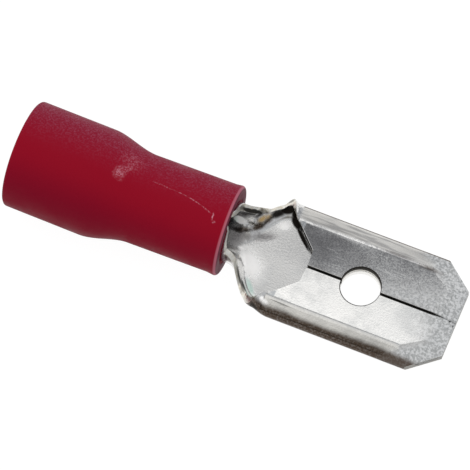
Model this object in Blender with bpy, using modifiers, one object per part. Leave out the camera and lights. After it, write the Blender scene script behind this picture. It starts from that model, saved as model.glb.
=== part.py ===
"""Male spade terminal: a folded sheet-metal tab and crimp barrel in a turned PVC sleeve.

Run it with  blender --background --python part.py  or from Blender's text editor.
Units are metres.  X runs along the terminal towards the tip of the tab, Y is across it,
and Z is up, on the side where the two folded flaps meet in a seam.  The origin is under
the middle of the part, on the surface that the part lies on.
"""

import math

import bmesh
import bpy
from mathutils import Vector

# Sheet stock and the clearances that keep touching surfaces apart
SHEET = 0.00039
HEM_GAP = 0.00002
SEAM_GAP = 0.00012
SLEEVE_CLEARANCE = 0.00005

# Tab
TAB_WIDTH = 0.00635
TAB_LENGTH = 0.00800
TIP_FLAT_WIDTH = 0.00373
TIP_CHAMFER_LENGTH = 0.00156
LEAD_IN_LENGTH = 0.00115
TIP_LAND = 0.00042
EDGE_BEVEL_WIDTH = 0.00087
EDGE_ROUND = 0.00030
FLAP_SLOPE = math.radians(1.2)
HOLE_DIAMETER = 0.00205
HOLE_FROM_TIP = 0.00511

# Flap ends, which leave a V-shaped notch between the tab and the neck
NOTCH_FLOOR_WIDTH = 0.00180
NOTCH_FLOOR_SLANT = 0.00004
FLAP_END_LENGTH = 0.00188
BEVEL_START_FROM_CORNER = 0.00058
FOLD_SETTLE_LENGTH = 0.00095

# Neck, an open trough whose walls lean outwards
NECK_LENGTH = 0.00213
NECK_WAIST_SHARE = 0.47

# Crimp barrel
BARREL_BORE = 0.00234
BARREL_LENGTH = 0.00520
BUTT_GAP = 0.00016

# Sleeve
SLEEVE_NARROW_WALL = 0.00072
SLEEVE_FRONT_FLARE = 0.00004
SLEEVE_WIDE_WALL = 0.00066
SLEEVE_WIDE_BORE = 0.00430
SLEEVE_SETBACK = 0.00017
SLEEVE_NARROW_LENGTH = 0.00478
SLEEVE_SHOULDER_LENGTH = 0.00235
SLEEVE_WIDE_LENGTH = 0.00415
SLEEVE_GRIP_BEYOND_BARREL = 0.00020
SLEEVE_FUNNEL_LENGTH = 0.00130
SLEEVE_RIM_RADIUS = 0.00020
SLEEVE_MOUTH_CHAMFER = 0.00015

# Facet counts
FLAT_SAMPLES = 7
BEND_SAMPLES = 12
FLAP_SAMPLES = 5
FLAP_SAMPLE_SHARE = 0.20
RIM_STATIONS = 3
NECK_STATIONS = 16
FOLD_STATIONS = 9
NOTCH_STATIONS = 5
HOLE_SIDES = 48
SLEEVE_SIDES = 64
SHOULDER_STEPS = 10
RIM_STEPS = 4
EDGE_ROUND_STEPS = 5
EDGE_SHARPNESS = math.radians(32)
CUTTER_REACH = 0.004

# Sizes that follow from the ones above
TAB_THICKNESS = 2 * SHEET + HEM_GAP
BARREL_RADIUS = (BARREL_BORE + SHEET) / 2
SLEEVE_GRIP_RADIUS = BARREL_RADIUS + SHEET / 2 + SLEEVE_CLEARANCE
SLEEVE_NARROW_RADIUS = SLEEVE_GRIP_RADIUS + SLEEVE_NARROW_WALL
SLEEVE_FRONT_RADIUS = SLEEVE_NARROW_RADIUS + SLEEVE_FRONT_FLARE
SLEEVE_WIDE_RADIUS = SLEEVE_WIDE_BORE / 2 + SLEEVE_WIDE_WALL
AXIS_HEIGHT = SLEEVE_WIDE_RADIUS
BASE_HEIGHT = AXIS_HEIGHT - BARREL_RADIUS
UNDERSIDE = BASE_HEIGHT - SHEET / 2
TAB_MIDDLE = UNDERSIDE + TAB_THICKNESS / 2
HEM_RADIUS = (SHEET + HEM_GAP + (TAB_WIDTH - SHEET) / 2 * math.tan(FLAP_SLOPE)) / 2
HEM_FLAT = TAB_WIDTH / 2 - SHEET / 2 - HEM_RADIUS
FLAP_TURN = math.pi + FLAP_SLOPE

# Places along the terminal, as distances back from the tip
CORNER_AT = TAB_LENGTH + NOTCH_FLOOR_SLANT + FLAP_END_LENGTH
BARREL_FRONT_AT = CORNER_AT + NECK_LENGTH
BARREL_REAR_AT = BARREL_FRONT_AT + BARREL_LENGTH
SLEEVE_FRONT_AT = BARREL_FRONT_AT + SLEEVE_SETBACK
SLEEVE_LENGTH = SLEEVE_NARROW_LENGTH + SLEEVE_SHOULDER_LENGTH + SLEEVE_WIDE_LENGTH
OVERALL_LENGTH = SLEEVE_FRONT_AT + SLEEVE_LENGTH
TIP_X = OVERALL_LENGTH / 2

# How the section opens between the barrel and the tab.  Each row gives the place as a
# share of the neck's length from the barrel, how far the flat floor has widened to the
# tab's, how far the bend has tightened to the fold's, and the angle at the sheet's edge.
NECK_KEYS = (
    (0.00, 0.000, 0.000, None),
    (0.03, 0.000, 0.000, math.radians(128)),
    (0.08, 0.000, 0.000, math.radians(111)),
    (0.20, 0.012, 0.000, math.radians(106)),
    (0.34, 0.060, 0.012, math.radians(99)),
    (NECK_WAIST_SHARE, 0.210, 0.080, math.radians(80)),
    (0.60, 0.420, 0.200, math.radians(65)),
    (0.80, 0.650, 0.390, math.radians(65)),
    (0.93, 0.745, 0.460, math.radians(84)),
    (1.00, 0.780, 0.520, math.radians(99)),
)

# How the fold closes behind the corner, as shares of FOLD_SETTLE_LENGTH
FOLD_KEYS = (
    (0.00, 0.780, 0.520),
    (0.25, 0.860, 0.760),
    (0.50, 0.935, 0.910),
    (0.75, 0.980, 0.975),
    (1.00, 1.000, 1.000),
)


def clear_scene():
    """Removes the objects that the scene starts with."""
    for item in list(bpy.data.objects):
        bpy.data.objects.remove(item, do_unlink=True)


def add_collection(name):
    """Returns a new collection linked to the scene."""
    collection = bpy.data.collections.new(name)
    bpy.context.scene.collection.children.link(collection)
    return collection


def make_material(name, colour, roughness, metallic):
    """Returns a material with a plain Principled BSDF."""
    material = bpy.data.materials.new(name)
    material.use_nodes = True
    shader = material.node_tree.nodes["Principled BSDF"]
    shader.inputs["Base Color"].default_value = (*colour, 1.0)
    shader.inputs["Roughness"].default_value = roughness
    shader.inputs["Metallic"].default_value = metallic
    return material


def mix(first, second, share):
    """Returns the value that lies the given share of the way between two values."""
    return first + (second - first) * share


def smooth_step(share):
    """Returns a share eased in and out."""
    return share * share * (3 - 2 * share)


def key_slopes(places, values):
    """Returns the slope at each key so that the curve through them never overshoots."""
    steps = [
        (values[i + 1] - values[i]) / (places[i + 1] - places[i]) for i in range(len(values) - 1)
    ]
    slopes = [steps[0]]
    for before, after in zip(steps, steps[1:]):
        if before * after <= 0:
            slopes.append(0.0)
        else:
            slopes.append(2 * before * after / (before + after))
    slopes.append(steps[-1])
    return slopes


def read_keys(places, values, place):
    """Returns the value at a place on a smooth curve through the keys."""
    slopes = key_slopes(places, values)
    index = 0
    while index < len(places) - 2 and place > places[index + 1]:
        index += 1
    span = places[index + 1] - places[index]
    t = min(max((place - places[index]) / span, 0.0), 1.0)
    ease = smooth_step(t)
    lead = t * (1 - t) ** 2 * span * slopes[index]
    trail = t * t * (t - 1) * span * slopes[index + 1]
    return mix(values[index], values[index + 1], ease) + lead + trail


def butt_angle():
    """Returns the angle at the barrel's butt edge, measured from the barrel's bottom."""
    return math.pi - BUTT_GAP / 2 / BARREL_RADIUS


def opened_floor(share):
    """Returns the half width of the flat floor for a share of the tab's."""
    return HEM_FLAT * share


def tightened_bend(share):
    """Returns the bend radius for a share of the way from the barrel to the fold."""
    return mix(BARREL_RADIUS, HEM_RADIUS, share)


def neck_section(distance):
    """Returns the floor's half width, bend radius and edge angle in the neck."""
    place = (BARREL_FRONT_AT - distance) / NECK_LENGTH
    places = [key[0] for key in NECK_KEYS]
    floor = opened_floor(read_keys(places, [key[1] for key in NECK_KEYS], place))
    bend = tightened_bend(read_keys(places, [key[2] for key in NECK_KEYS], place))
    angles = [butt_angle() if key[3] is None else key[3] for key in NECK_KEYS]
    return floor, bend, read_keys(places, angles, place)


def fold_section(distance):
    """Returns the floor's half width and bend radius where the fold closes."""
    place = min((CORNER_AT - distance) / FOLD_SETTLE_LENGTH, 1.0)
    places = [key[0] for key in FOLD_KEYS]
    floor = opened_floor(read_keys(places, [key[1] for key in FOLD_KEYS], place))
    bend = tightened_bend(read_keys(places, [key[2] for key in FOLD_KEYS], place))
    return floor, bend


def reach_at_flap_edge(half_gap):
    """Returns the sheet's half width, flattened, for a folded flap that ends at half_gap."""
    return HEM_FLAT + HEM_RADIUS * FLAP_TURN + (HEM_FLAT - half_gap) / math.cos(FLAP_SLOPE)


def section_at(distance):
    """Returns the floor's half width, bend radius and the sheet's half width, flattened."""
    if distance >= BARREL_FRONT_AT:
        return 0.0, BARREL_RADIUS, BARREL_RADIUS * butt_angle()
    if distance > CORNER_AT:
        floor, bend, angle = neck_section(distance)
        return floor, bend, floor + bend * angle
    floor, bend = fold_section(distance)
    if distance <= TAB_LENGTH:
        return floor, bend, reach_at_flap_edge(SEAM_GAP / 2)
    notch_start = TAB_LENGTH + NOTCH_FLOOR_SLANT
    corner_floor, corner_bend, corner_angle = neck_section(CORNER_AT)
    corner_reach = corner_floor + corner_bend * corner_angle
    share = (CORNER_AT - distance) / (CORNER_AT - notch_start)
    return floor, bend, mix(corner_reach, reach_at_flap_edge(NOTCH_FLOOR_WIDTH / 2), share)


def spread(start, end, count):
    """Returns evenly spaced places after start, up to and with end."""
    return [mix(start, end, (i + 1) / count) for i in range(count)]


def station_distances():
    """Returns the distances from the tip at which the sheet's section is laid out."""
    notch_start = TAB_LENGTH + NOTCH_FLOOR_SLANT
    fold_settled = CORNER_AT - FOLD_SETTLE_LENGTH
    stations = [BARREL_REAR_AT, BARREL_FRONT_AT]
    rim_length = NECK_LENGTH * NECK_KEYS[1][0]
    for share in spread(0.0, 1.0, RIM_STATIONS):
        stations.append(BARREL_FRONT_AT - rim_length * share * share)
    stations += spread(stations[-1], CORNER_AT, NECK_STATIONS)
    stations += spread(CORNER_AT, fold_settled, FOLD_STATIONS)
    stations += spread(fold_settled, notch_start, NOTCH_STATIONS)
    stations += [TAB_LENGTH, 0.0]
    return stations


def sample_reach(floor, bend, reach, index):
    """Returns how far from the centre line, along the sheet, one sample of it lies."""
    total = FLAT_SAMPLES + BEND_SAMPLES + FLAP_SAMPLES
    flat_end = max(floor, reach * FLAT_SAMPLES / total)
    bend_end = min(floor + bend * FLAP_TURN, mix(reach, flat_end, FLAP_SAMPLE_SHARE))
    if index <= FLAT_SAMPLES:
        return flat_end * index / FLAT_SAMPLES
    if index <= FLAT_SAMPLES + BEND_SAMPLES:
        return mix(flat_end, bend_end, (index - FLAT_SAMPLES) / BEND_SAMPLES)
    return mix(bend_end, reach, (index - FLAT_SAMPLES - BEND_SAMPLES) / FLAP_SAMPLES)


def folded_point(floor, bend, along, offset):
    """Returns where a point of the flat sheet lies across the terminal once it is folded.

    The sheet is flat up to floor, turns with the radius bend up to the flap's angle and
    is flat again after it.  A positive offset lies towards the inside of the bend.
    """
    angle = min(max(along - floor, 0.0) / bend, FLAP_TURN)
    flat_run = min(along, floor)
    flap_run = max(along - floor - bend * FLAP_TURN, 0.0)
    across = flat_run + (bend - offset) * math.sin(angle) + flap_run * math.cos(angle)
    height = bend - (bend - offset) * math.cos(angle) + flap_run * math.sin(angle)
    return across, BASE_HEIGHT + height


def folded_half(name):
    """Returns one half of the folded sheet, open at the middle plane."""
    stations = station_distances()
    rows = len(stations) - 1
    samples = FLAT_SAMPLES + BEND_SAMPLES + FLAP_SAMPLES
    blank = bmesh.new()
    bmesh.ops.create_grid(blank, x_segments=rows, y_segments=samples, size=0.5)
    lower_skin = set(blank.verts)
    bmesh.ops.extrude_face_region(blank, geom=blank.faces[:], use_keep_orig=True)
    middle_faces = []
    for face in blank.faces:
        if all(vert.co.y < -0.5 + 0.5 / samples for vert in face.verts):
            middle_faces.append(face)
    bmesh.ops.delete(blank, geom=middle_faces, context="FACES")
    for vert in blank.verts:
        distance = stations[round((vert.co.x + 0.5) * rows)]
        floor, bend, reach = section_at(distance)
        along = sample_reach(floor, bend, reach, round((vert.co.y + 0.5) * samples))
        offset = -SHEET / 2 if vert in lower_skin else SHEET / 2
        across, height = folded_point(floor, bend, along, offset)
        vert.co = Vector((TIP_X - distance, across, height))
    bmesh.ops.recalc_face_normals(blank, faces=blank.faces[:])
    mesh = bpy.data.meshes.new(name)
    blank.to_mesh(mesh)
    blank.free()
    return mesh


def cutter_from_mesh(name, mesh, cutters):
    """Returns a cutter object that is never rendered."""
    cutter = bpy.data.objects.new(name, mesh)
    cutter.display_type = "WIRE"
    cutter.hide_render = True
    cutters.objects.link(cutter)
    return cutter


def plane_cutter(name, point, outward, cutters):
    """Returns a block that cuts away what lies beyond a plane, given its outward normal."""
    block = bmesh.new()
    bmesh.ops.create_cube(block, size=2 * CUTTER_REACH)
    bmesh.ops.translate(block, verts=block.verts, vec=(0.0, 0.0, CUTTER_REACH))
    mesh = bpy.data.meshes.new(name)
    block.to_mesh(mesh)
    block.free()
    cutter = cutter_from_mesh(name, mesh, cutters)
    cutter.location = point
    cutter.rotation_euler = outward.to_track_quat("Z", "Y").to_euler()
    return cutter


def edge_die_outline():
    """Returns the die's outline that coins one long edge, as places across and up.

    Each bevel starts at its crease with the flap and runs tangent into the edge's round.
    """
    crease = TAB_WIDTH / 2 - EDGE_BEVEL_WIDTH
    crease_height = TAB_THICKNESS / 2 + crease * math.tan(FLAP_SLOPE)
    run = EDGE_BEVEL_WIDTH - EDGE_ROUND
    reach = math.hypot(crease_height, run)
    slope = math.acos(EDGE_ROUND / reach) - math.atan2(run, crease_height)
    lead = crease - EDGE_ROUND
    lead_height = crease_height + EDGE_ROUND * math.tan(slope)
    surface = [(lead, lead_height)]
    for step in range(2 * EDGE_ROUND_STEPS + 1):
        angle = (math.pi / 2 - slope) * (1 - step / EDGE_ROUND_STEPS)
        across = TAB_WIDTH / 2 - EDGE_ROUND + EDGE_ROUND * math.cos(angle)
        surface.append((across, EDGE_ROUND * math.sin(angle)))
    surface.append((lead, -lead_height))
    far_side = 2 * CUTTER_REACH
    outside = [(lead, -CUTTER_REACH), (far_side, -CUTTER_REACH)]
    outside += [(far_side, CUTTER_REACH), (lead, CUTTER_REACH)]
    return surface + outside


def edge_die_cutters(cutters):
    """Returns the two dies that coin the bevelled and rounded long edges of the tab."""
    start = TIP_X - CORNER_AT + BEVEL_START_FROM_CORNER
    length = CORNER_AT + CUTTER_REACH
    dies = []
    for side, side_name in ((1, "left"), (-1, "right")):
        name = f"edge_die_{side_name}"
        die = bmesh.new()
        outline = [(0.0, side * across, up) for across, up in edge_die_outline()]
        face = die.faces.new([die.verts.new(point) for point in outline])
        swept = bmesh.ops.extrude_face_region(die, geom=[face], use_keep_orig=True)
        moved = [item for item in swept["geom"] if isinstance(item, bmesh.types.BMVert)]
        bmesh.ops.translate(die, verts=moved, vec=(length, 0.0, 0.0))
        bmesh.ops.recalc_face_normals(die, faces=die.faces[:])
        mesh = bpy.data.meshes.new(name)
        die.to_mesh(mesh)
        die.free()
        cutter = cutter_from_mesh(name, mesh, cutters)
        cutter.location = (start, 0.0, TAB_MIDDLE)
        dies.append(cutter)
    return dies


def tip_cutters(cutters):
    """Returns the blocks that chamfer the tab's corners and thin it towards its tip."""
    inset = (TAB_WIDTH - TIP_FLAT_WIDTH) / 2
    corner = TIP_FLAT_WIDTH / 2
    across = Vector((inset, TIP_CHAMFER_LENGTH)).normalized()
    sides = (
        ("front", 0.0, Vector((1.0, 0.0, 0.0))),
        ("left", corner, Vector((across.x, across.y, 0.0))),
        ("right", -corner, Vector((across.x, -across.y, 0.0))),
    )
    slope = math.atan2((TAB_THICKNESS - TIP_LAND) / 2, LEAD_IN_LENGTH)
    blocks = []
    for side, place, ahead in sides:
        if side != "front":
            point = (TIP_X, place, TAB_MIDDLE)
            blocks.append(plane_cutter(f"tip_chamfer_{side}", point, ahead, cutters))
        for face, face_name in ((1, "top"), (-1, "bottom")):
            point = (TIP_X, place, TAB_MIDDLE + face * TIP_LAND / 2)
            outward = ahead * math.sin(slope) + Vector((0.0, 0.0, face * math.cos(slope)))
            blocks.append(plane_cutter(f"lead_in_{side}_{face_name}", point, outward, cutters))
    return blocks


def hole_cutter(cutters):
    """Returns the cylinder that pierces the tab's detent hole."""
    pin = bmesh.new()
    bmesh.ops.create_cone(
        pin,
        cap_ends=True,
        segments=HOLE_SIDES,
        radius1=HOLE_DIAMETER / 2,
        radius2=HOLE_DIAMETER / 2,
        depth=CUTTER_REACH,
    )
    mesh = bpy.data.meshes.new("detent_hole")
    pin.to_mesh(mesh)
    pin.free()
    cutter = cutter_from_mesh("detent_hole", mesh, cutters)
    cutter.location = (TIP_X - HOLE_FROM_TIP, 0.0, TAB_MIDDLE)
    return cutter


def cut_with(target, cutter):
    """Takes the cutter's shape away from the target."""
    cut = target.modifiers.new(cutter.name, "BOOLEAN")
    cut.operation = "DIFFERENCE"
    cut.solver = "EXACT"
    cut.object = cutter


def build_terminal(parts, cutters):
    """Builds the folded metal terminal as one solid."""
    terminal = bpy.data.objects.new("terminal_body", folded_half("terminal_body"))
    parts.objects.link(terminal)
    mirror = terminal.modifiers.new("other_half", "MIRROR")
    mirror.use_axis = (False, True, False)
    mirror.merge_threshold = 0.000001
    for cutter in edge_die_cutters(cutters) + tip_cutters(cutters):
        cut_with(terminal, cutter)
    cut_with(terminal, hole_cutter(cutters))
    terminal.data.shade_smooth()
    terminal.data.set_sharp_from_angle(angle=EDGE_SHARPNESS)
    terminal.data.materials.append(make_material("tinned_brass", (0.72, 0.71, 0.69), 0.28, 1.0))
    return terminal


def rounded_corner(corner, before, after, radius, steps):
    """Returns the points of a fillet between two straight runs that meet in a corner."""
    corner = Vector(corner)
    into = (corner - Vector(before)).normalized()
    out = (Vector(after) - corner).normalized()
    half = into.angle(out) / 2
    run = radius * math.tan(half)
    start = corner - into * run
    inward = (out - into).normalized()
    centre = corner + inward * (radius / math.cos(half))
    arm = start - centre
    turn = 2 * half if into.cross(out) > 0 else -2 * half
    points = []
    for step in range(steps + 1):
        angle = turn * step / steps
        cosine = math.cos(angle)
        sine = math.sin(angle)
        x = centre.x + arm.x * cosine - arm.y * sine
        y = centre.y + arm.x * sine + arm.y * cosine
        points.append((x, y))
    return points


def sleeve_profile():
    """Returns the sleeve's half section as radius and distance behind its front face."""
    grip_end = BARREL_REAR_AT - SLEEVE_FRONT_AT + SLEEVE_GRIP_BEYOND_BARREL
    funnel_end = grip_end + SLEEVE_FUNNEL_LENGTH
    shoulder_start = SLEEVE_NARROW_LENGTH
    shoulder_end = shoulder_start + SLEEVE_SHOULDER_LENGTH
    wide_bore = SLEEVE_WIDE_BORE / 2
    mouth = (SLEEVE_GRIP_RADIUS + SLEEVE_MOUTH_CHAMFER, 0.0)
    front_edge = (SLEEVE_FRONT_RADIUS, 0.0)
    rear_edge = (SLEEVE_WIDE_RADIUS, SLEEVE_LENGTH)
    rear_lip = (wide_bore, SLEEVE_LENGTH)
    profile = rounded_corner(
        front_edge, mouth, (SLEEVE_NARROW_RADIUS, shoulder_start), SLEEVE_RIM_RADIUS, RIM_STEPS
    )
    for step in range(SHOULDER_STEPS + 1):
        share = step / SHOULDER_STEPS
        radius = mix(SLEEVE_NARROW_RADIUS, SLEEVE_WIDE_RADIUS, smooth_step(share))
        profile.append((radius, mix(shoulder_start, shoulder_end, share)))
    profile += rounded_corner(
        rear_edge, (SLEEVE_WIDE_RADIUS, shoulder_end), rear_lip, SLEEVE_RIM_RADIUS, RIM_STEPS
    )
    profile += rounded_corner(
        rear_lip, rear_edge, (wide_bore, funnel_end), SLEEVE_RIM_RADIUS, RIM_STEPS
    )
    profile += [
        (wide_bore, funnel_end),
        (SLEEVE_GRIP_RADIUS, grip_end),
        (SLEEVE_GRIP_RADIUS, SLEEVE_MOUTH_CHAMFER),
        mouth,
    ]
    return profile


def build_sleeve(parts):
    """Builds the insulating sleeve as a turned profile around the barrel's axis."""
    outline = bmesh.new()
    verts = [outline.verts.new((radius, 0.0, -behind)) for radius, behind in sleeve_profile()]
    for first, second in zip(verts, verts[1:] + verts[:1]):
        outline.edges.new((first, second))
    mesh = bpy.data.meshes.new("insulating_sleeve")
    outline.to_mesh(mesh)
    outline.free()
    sleeve = bpy.data.objects.new("insulating_sleeve", mesh)
    parts.objects.link(sleeve)
    sleeve.location = (TIP_X - SLEEVE_FRONT_AT, 0.0, AXIS_HEIGHT)
    sleeve.rotation_euler = (0.0, math.pi / 2, 0.0)
    turn = sleeve.modifiers.new("turned", "SCREW")
    turn.axis = "Z"
    turn.angle = 2 * math.pi
    turn.screw_offset = 0.0
    turn.steps = SLEEVE_SIDES
    turn.render_steps = SLEEVE_SIDES
    turn.use_merge_vertices = True
    turn.merge_threshold = 0.000001
    turn.use_smooth_shade = True
    mesh.materials.append(make_material("red_pvc", (0.33, 0.008, 0.022), 0.45, 0.0))
    return sleeve


def main():
    """Builds the terminal and its sleeve."""
    clear_scene()
    parts = add_collection("male_spade_terminal")
    cutters = add_collection("cutters")
    build_terminal(parts, cutters)
    build_sleeve(parts)


main()
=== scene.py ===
"""Male spade terminal: a folded tin-plated tab and crimp barrel in a crimson PVC sleeve.

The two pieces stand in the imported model's frame, in metres: X runs towards the tip of the
tab, Y across it, and Z up on the side where the folded flaps meet.
"""

import logging
import math
from collections.abc import Iterable, Sequence
from dataclasses import dataclass
from enum import Enum
from functools import partial, reduce

import bmesh
import bpy
from mathutils import Matrix, Vector

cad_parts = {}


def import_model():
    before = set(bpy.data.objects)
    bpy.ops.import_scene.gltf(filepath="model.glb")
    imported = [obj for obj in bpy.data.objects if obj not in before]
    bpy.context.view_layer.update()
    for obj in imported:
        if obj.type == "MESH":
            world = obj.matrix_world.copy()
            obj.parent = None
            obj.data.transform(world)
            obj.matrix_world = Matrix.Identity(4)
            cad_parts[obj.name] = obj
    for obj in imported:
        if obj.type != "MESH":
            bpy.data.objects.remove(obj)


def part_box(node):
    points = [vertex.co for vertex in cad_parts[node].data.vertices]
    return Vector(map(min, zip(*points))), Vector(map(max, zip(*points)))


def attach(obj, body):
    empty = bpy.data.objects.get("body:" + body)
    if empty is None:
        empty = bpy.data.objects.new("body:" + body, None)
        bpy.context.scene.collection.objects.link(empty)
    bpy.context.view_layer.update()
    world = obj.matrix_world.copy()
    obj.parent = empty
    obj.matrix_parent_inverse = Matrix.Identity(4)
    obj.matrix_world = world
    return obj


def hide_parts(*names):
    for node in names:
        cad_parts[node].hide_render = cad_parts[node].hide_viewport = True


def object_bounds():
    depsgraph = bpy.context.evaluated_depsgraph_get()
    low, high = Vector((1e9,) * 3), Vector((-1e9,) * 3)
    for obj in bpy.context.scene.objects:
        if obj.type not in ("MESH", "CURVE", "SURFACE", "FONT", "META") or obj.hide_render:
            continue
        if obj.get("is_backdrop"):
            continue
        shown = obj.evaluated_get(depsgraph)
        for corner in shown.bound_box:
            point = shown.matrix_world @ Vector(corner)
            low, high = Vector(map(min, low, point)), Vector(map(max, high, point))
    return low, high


log = logging.getLogger("spade_terminal")

MM = 0.001
MERGE_DISTANCE = 0.001 * MM
FINE_MERGE_DISTANCE = 0.0001 * MM
RIM_ANGLE = math.radians(60)
RIM_LEAN = 0.3
HALF_TURN = 180.0
WHITE = (1.0, 1.0, 1.0)
BODY = "root"

Pair = tuple[float, float]
Triple = tuple[float, float, float]
Quad = tuple[float, float, float, float]
Form = bmesh.types.BMesh
Material = bpy.types.Material
Socket = bpy.types.NodeSocket


def mix(first: float, second: float, share: float) -> float:
    """Returns the value that lies the given share of the way between two values."""
    return first + (second - first) * share


def smooth_step(share: float) -> float:
    """Returns a share eased in and out."""
    return share * share * (3 - 2 * share)


def spread(start: float, end: float, count: int) -> list[float]:
    """Returns evenly spaced values after start, up to and with end."""
    return [mix(start, end, (i + 1) / count) for i in range(count)]


def arc(centre: Pair, radius: float, start: float, end: float, steps: int) -> list[Pair]:
    """Makes an arc.

    Args:
        centre: The arc's centre.
        radius: The arc's radius.
        start: Where it starts, as an angle from the second axis towards the first.
        end: Where it ends.
        steps: How many steps it is divided into.

    Returns:
        The arc's points.
    """
    angles = [mix(start, end, step / steps) for step in range(steps + 1)]
    return [(centre[0] + radius * math.sin(angle), centre[1] + radius * math.cos(angle))
            for angle in angles]


class Curve:
    """A smooth curve through keys that never overshoots them."""

    def __init__(self, keys: Sequence[Pair]) -> None:
        """Stores the keys.

        Args:
            keys: Pairs of place and value, in order of place.
        """
        self.places = [key[0] for key in keys]
        self.values = [key[1] for key in keys]
        self.slopes = self._slopes()

    def _slopes(self) -> list[float]:
        """Returns the slope at each key."""
        steps = []
        for i in range(len(self.values) - 1):
            rise = self.values[i + 1] - self.values[i]
            steps.append(rise / (self.places[i + 1] - self.places[i]))
        slopes = [steps[0]]
        for before, after in zip(steps, steps[1:]):
            turns = before * after <= 0
            slopes.append(0.0 if turns else 2 * before * after / (before + after))
        return slopes + [steps[-1]]

    def at(self, place: float) -> float:
        """Reads the curve.

        Args:
            place: Where along the curve.

        Returns:
            The value there.
        """
        index = 0
        while index < len(self.places) - 2 and place > self.places[index + 1]:
            index += 1
        span = self.places[index + 1] - self.places[index]
        t = min(max((place - self.places[index]) / span, 0.0), 1.0)
        lead = t * (1 - t) ** 2 * span * self.slopes[index]
        trail = t * t * (t - 1) * span * self.slopes[index + 1]
        return mix(self.values[index], self.values[index + 1], smooth_step(t)) + lead + trail


class Surface(Enum):
    """Which finish a face of the terminal wears, as its material slot's index."""

    PLATED = 0
    SHEARED = 1
    PRESSED = 2


class Nodes:
    """A small builder for shader node trees."""

    def __init__(self, tree: bpy.types.NodeTree) -> None:
        """Stores the tree that the nodes go into."""
        self.tree = tree

    def put(self, socket: Socket, value: object) -> None:
        """Sets a socket.

        Args:
            socket: The input socket.
            value: An output socket to link, or a plain value.
        """
        if isinstance(value, Socket):
            self.tree.links.new(value, socket)
        elif isinstance(value, tuple) and socket.type == "RGBA":
            socket.default_value = (*value, 1.0)
        else:
            socket.default_value = value

    def add(self, kind: str, inputs: dict | None = None, **settings: object) -> bpy.types.Node:
        """Adds a node.

        Args:
            kind: The node's type name, without the leading ShaderNode.
            inputs: Values or output sockets by input name or index.
            **settings: Properties of the node.

        Returns:
            The node.
        """
        node = self.tree.nodes.new("ShaderNode" + kind)
        for name, value in settings.items():
            setattr(node, name, value)
        for name, value in (inputs or {}).items():
            self.put(node.inputs[name], value)
        return node

    def math(self, operation: str, *values: object) -> Socket:
        """Adds a Math node and returns its value."""
        return self.add("Math", dict(enumerate(values)), operation=operation).outputs[0]

    def most(self, *values: object) -> Socket:
        """Returns the highest of some values."""
        return reduce(partial(self.math, "MAXIMUM"), values)

    def times(self, *values: object) -> Socket:
        """Returns the product of some values."""
        return reduce(partial(self.math, "MULTIPLY"), values)

    def less(self, value: object, taken: object) -> Socket:
        """Returns a value less another one."""
        return self.math("SUBTRACT", value, taken)

    def vector(self, operation: str, *values: object) -> Socket:
        """Adds a Vector Math node and returns its vector."""
        return self.add("VectorMath", dict(enumerate(values)), operation=operation).outputs[0]

    def length(self, vector: object) -> Socket:
        """Returns the length of a vector."""
        return self.add("VectorMath", {0: vector}, operation="LENGTH").outputs["Value"]

    def ramp(self, value: object, low: object, high: object, start: object = 0.0,
             end: object = 1.0, smooth: bool = True) -> Socket:
        """Maps a value from one range to another.

        Args:
            value: The value to map.
            low: Where the input range starts.
            high: Where the input range ends.
            start: The result at low.
            end: The result at high.
            smooth: Whether the result eases in and out.

        Returns:
            The mapped value, held inside its range.
        """
        inputs = {"Value": value, "From Min": low, "From Max": high, "To Min": start, "To Max": end}
        kind = "SMOOTHSTEP" if smooth else "LINEAR"
        return self.add("MapRange", inputs, interpolation_type=kind).outputs[0]

    def ramp_mm(self, value: object, reach: Pair, start: float = 0.0, end: float = 1.0) -> Socket:
        """Maps a value as ramp does, from a range that is given in millimetres."""
        return self.ramp(value, reach[0] * MM, reach[1] * MM, start, end)

    def layered(self, colour: object, *layers: tuple[object, object]) -> Socket:
        """Lays colours over one another.

        Args:
            colour: The lowest colour.
            *layers: The mask and the colour of each layer over it.

        Returns:
            The colour that results.
        """
        for share, over in layers:
            node = self.add("Mix", data_type="RGBA")
            for name, value in (("Factor", share), (6, colour), (7, over)):
                self.put(node.inputs[name], value)
            colour = node.outputs[2]
        return colour

    def noise(self, vector: object, per_mm: float, detail: float = 2.0, roughness: float = 0.5,
              output: str = "Fac") -> Socket:
        """Adds a noise pattern.

        Args:
            vector: Where the pattern is read.
            per_mm: How many blobs it has in a millimetre.
            detail: How many finer layers it has.
            roughness: How strong the finer layers are.
            output: Which output is wanted.

        Returns:
            The pattern, about 0.5 on average.
        """
        inputs = {"Vector": vector, "Scale": per_mm / MM, "Detail": detail,
                  "Roughness": roughness}
        return self.add("TexNoise", inputs).outputs[output]

    def stretched(self, vector: object, scale: Triple, turn: float = 0.0) -> Socket:
        """Turns a pattern's coordinates about Z, stretches them and returns them."""
        inputs = {"Vector": vector, "Rotation": (0.0, 0.0, turn), "Scale": scale}
        return self.add("Mapping", inputs).outputs[0]


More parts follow.
